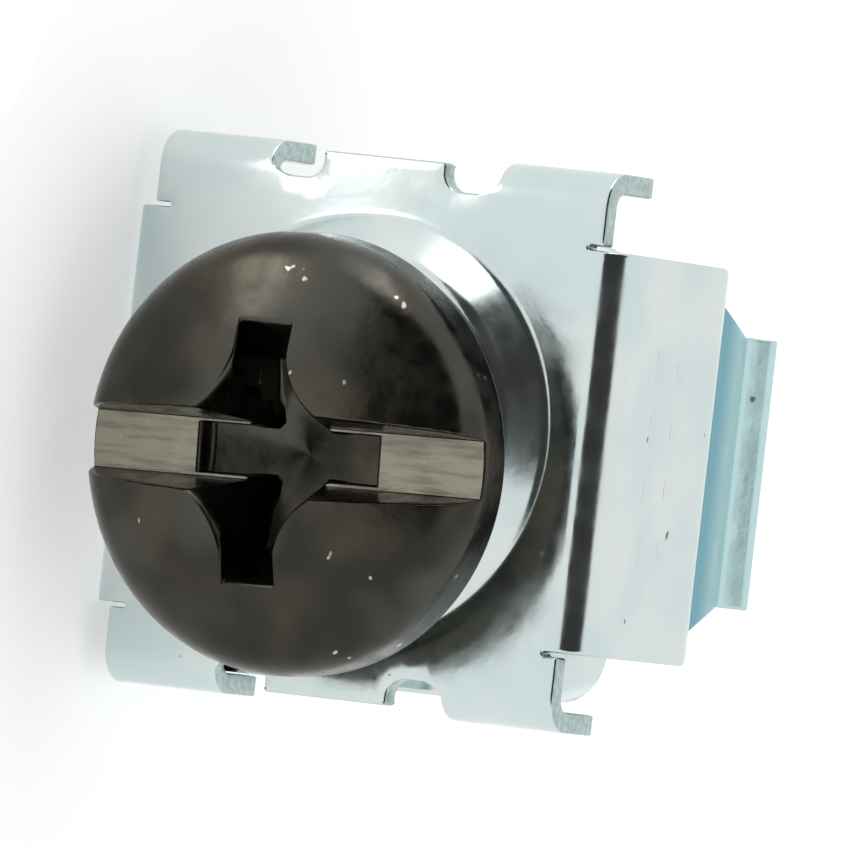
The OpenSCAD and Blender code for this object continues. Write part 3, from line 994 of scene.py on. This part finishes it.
def nutOutline(c, shrink=0.0):
    # rounded square, walked round its corners
    half = c["size"] / 2 - shrink
    r = c["cornerR"] - shrink
    points = []
    for corner in range(4):
        cx = (half - r) * (1 if corner in (0, 3) else -1)
        cy = (half - r) * (1 if corner in (0, 1) else -1)
        for i in range(13):
            a = math.radians(90 * corner + 90 * i / 12)
            points.append((cx + r * math.cos(a), cy + r * math.sin(a)))
        a = math.radians(90 * corner + 90)
        here = points[-1]
        there = ((-half + r, half), (-half, -half + r), (half - r, -half), (half, half - r))[corner]
        for i in range(1, 40):
            k = i / 40
            points.append((here[0] + (there[0] - here[0]) * k, here[1] + (there[1] - here[1]) * k))
    return points


def makeNut(c, t, material):
    half = c["thick"] / 2
    columns = t["columns"]
    mouth = ringPoints(t["mouth"], columns)
    outline = nutOutline(c, c["edge"])
    limit = c["size"] / 2 - c["edge"]
    core = limit - (c["cornerR"] - c["edge"])

    def inside(x, y):
        dx, dy = max(0, abs(x) - core), max(0, abs(y) - core)
        return math.hypot(x, y) > t["mouth"] * 0.9995 and math.hypot(dx, dy) < c["cornerR"] - c["edge"]

    def height(x, y):
        r = np.hypot(x, y)
        return softMin(np.full_like(r, half), half - (r - c["faceR"]) * c["slope"], c["round"])

    rings = []
    for r in (4.5, 4.62, 4.68, 4.74, 4.8, 4.95, 5.2, 5.5, 5.8, 6.1):
        rings += [p for p in ringPoints(r, 240)
                  if inside(*p) and min(limit - abs(p[0]), limit - abs(p[1])) > 0.03]
    rings += [(r * math.cos(a), r * math.sin(a)) for r in (3.1, 3.6, 4.1)
              for a in np.linspace(0, 2 * math.pi, 60, endpoint=False)]
    xy, z, _, faces, first = heightMesh(height, [outline, mouth], rings, inside)
    verts = [(x, y, h) for (x, y), h in zip(xy, z)]
    count = len(outline)
    top = [first[i] for i in range(count)]
    # round over the edge, down the sides, and round to the flat face
    e = c["edge"]
    steps = []
    for k in range(1, 4):
        a = math.radians(90 * k / 3)
        steps.append((e * (1 - math.sin(a)), e * (1 - math.cos(a)), True))
    steps.append((0.0, c["skirt"], True))
    for k in range(0, 4):
        a = math.radians(90 * k / 3)
        steps.append((e * (1 - math.cos(a)), -half + e * (1 - math.sin(a)), False))
    row = top
    for shrink, level, belowTop in steps:
        new = []
        for i, (x, y) in enumerate(nutOutline(c, shrink)):
            new.append(len(verts))
            verts.append((x, y, z[top[i]] - level if belowTop else level))
        for i in range(count):
            j = (i + 1) % count
            faces.append((row[i], new[i], new[j], row[j]))
        row = new
    # flat face towards the head
    base = len(verts)
    under = delaunay_2d_cdt([Vector((verts[i][0], verts[i][1])) for i in row] + [Vector(p) for p in mouth],
                            [(i, (i + 1) % count) for i in range(count)]
                            + [(count + i, count + (i + 1) % columns) for i in range(columns)], [], 0, 1e-6, True)
    verts += [(v.x, v.y, -half) for v in under[0]]
    for f in under[2]:
        cx = sum(under[0][i].x for i in f) / 3
        cy = sum(under[0][i].y for i in f) / 3
        if inside(cx, cy):
            faces.append(tuple(base + i for i in reversed(f)))
    block = makeObject("nutBlock", verts, faces, [material])
    bore = makeThread("nutBore", material, start=looseSizes["seat"] - half, length=c["thick"],
                      pitch=t["pitch"], root=t["nutRoot"], crest=t["nutCrest"], startRadius=t["mouth"],
                      endRadius=t["mouth"], inside=True, columns=columns + 1, rows=threadRows(c["thick"]))
    bore.data.transform(Matrix.Translation((0, 0, -looseSizes["seat"])))
    work = bmesh.new()
    work.from_mesh(block.data)
    work.from_mesh(bore.data)
    bmesh.ops.remove_doubles(work, verts=work.verts, dist=0.002)
    bmesh.ops.dissolve_degenerate(work, dist=1e-5, edges=work.edges)
    bmesh.ops.recalc_face_normals(work, faces=work.faces)
    openEdges = sum(1 for edge in work.edges if edge.is_boundary)
    work.to_mesh(block.data)
    work.free()
    bpy.data.objects.remove(bore)
    print("nut open edges", openEdges)
    block.data.shade_smooth()
    block.data.set_sharp_from_angle(angle=math.radians(40))
    # from the middle of the nut to the seat's height, then into the row frame
    for v in block.data.vertices:
        x, y, h = v.co
        v.co = Vector(toRow(x, y, -(h + looseSizes["seat"])))
    block.data.transform(Matrix.Scale(mm, 4))
    turnOutwards(block)
    block.name = "squareNut"
    return block


nut = makeNut(nutSizes, threadSizes, zinc)
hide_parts("square_nut")
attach(nut, "nut")
print("nut:", len(nut.data.polygons), "faces")


# stage: a pale light table under the part, in a pale room with one dark side
stageSizes = {
    "floor": 3.0,
    "tableGlow": 0.44,
    "table": "#e3e5e5",
    # painted pool of light on the table, there for the head and plate to mirror
    "paintedLightPool": 3.2,           # extra light of the table beside the head
    "poolAt": (-9.5, -14.5),
    "poolReach": 5.0,
    "room": 1.0,
    "dark": 0.045,
    "top": 4.0,
}


def makeTable(c):
    mesh = bpy.data.meshes.new("lightTable")
    h = c["floor"] / 2
    z = cadLow.z
    mesh.from_pydata([(-h, -h, z), (h, -h, z), (h, h, z), (-h, h, z)], [], [(0, 1, 2, 3)])
    obj = bpy.data.objects.new("lightTable", mesh)
    bpy.context.scene.collection.objects.link(obj)
    m = bpy.data.materials.new("opalAcrylicTable")   # pale, matt and lit from below
    m.use_nodes = True
    tree = m.node_tree
    shader = tree.nodes["Principled BSDF"]
    shader.inputs["Base Color"].default_value = toLinear(c["table"])
    shader.inputs["Roughness"].default_value = 0.8
    shader.inputs["Emission Color"].default_value = (1, 1, 1, 1)
    where = addNode(tree, "ShaderNodeTexCoord", (-900, 0))
    off = addNode(tree, "ShaderNodeVectorMath", (-700, 0), {"operation": "DISTANCE"},
                  links={0: where.outputs["Object"]})
    off.inputs[1].default_value = (c["poolAt"][0] * mm, c["poolAt"][1] * mm, z)
    # painted pool of light: the table glows brighter in a disc beside the head, so the head and plate mirror a
    # bright patch there
    paintedLightPool = addNode(tree, "ShaderNodeMapRange", (-500, 0), {"interpolation_type": "SMOOTHSTEP"},
                   {"From Min": c["poolReach"] * mm, "From Max": 0.3 * c["poolReach"] * mm,
                    "To Min": c["tableGlow"], "To Max": c["tableGlow"] + c["paintedLightPool"]},
                   {"Value": off.outputs["Value"]})
    tree.links.new(paintedLightPool.outputs[0], shader.inputs["Emission Strength"])
    mesh.materials.append(m)


def makeRoom(c, view):
    # a pale room with a dark side where the operator stands and a bright ceiling box
    world = bpy.data.worlds.new("studio")
    bpy.context.scene.world = world
    world.use_nodes = True
    tree = world.node_tree
    light = tree.nodes["Background"]
    side, up, back = viewAxes(view)
    where = addNode(tree, "ShaderNodeTexCoord", (-1400, 0))

    def along(axis, place):
        node = addNode(tree, "ShaderNodeVectorMath", place, {"operation": "DOT_PRODUCT"},
                       links={0: where.outputs["Generated"]})
        node.inputs[1].default_value = axis
        return node.outputs["Value"]

    def calc(operation, place, *terms):
        node = addNode(tree, "ShaderNodeMath", place, {"operation": operation})
        for slot, value in enumerate(terms):
            if isinstance(value, (int, float)):
                node.inputs[slot].default_value = value
            else:
                tree.links.new(value, node.inputs[slot])
        return node.outputs[0]

    rightward, upward = along(side, (-1200, 200)), along(up, (-1200, 0))
    darkAxis = (back * 0.93 + side * 0.10 + up * 0.36).normalized()
    facing = along(darkAxis, (-1200, -200))
    dark = ramp(tree, (-1000, -200), facing, math.cos(math.radians(47)), math.cos(math.radians(38)))
    high = ramp(tree, (-1000, 0), upward, 0.72, 0.86)
    leftish = ramp(tree, (-1000, 200), rightward, 0.25, 0.05)
    boxLight = calc("MULTIPLY", (-800, 100), high, leftish)
    level = calc("MULTIPLY_ADD", (-600, 100), boxLight, c["top"] - c["room"], c["room"])
    clear = calc("SUBTRACT", (-800, -200), 1.0, dark)
    level = calc("MULTIPLY", (-400, 0), level, clear)
    level = calc("ADD", (-200, 0), level, c["dark"])
    light.inputs["Color"].default_value = (1, 1, 1, 1)
    tree.links.new(level, light.inputs["Strength"])


makeTable(stageSizes)
makeRoom(stageSizes, cameraView)
bpy.context.scene.view_settings.view_transform = "Standard"
print("stage set")
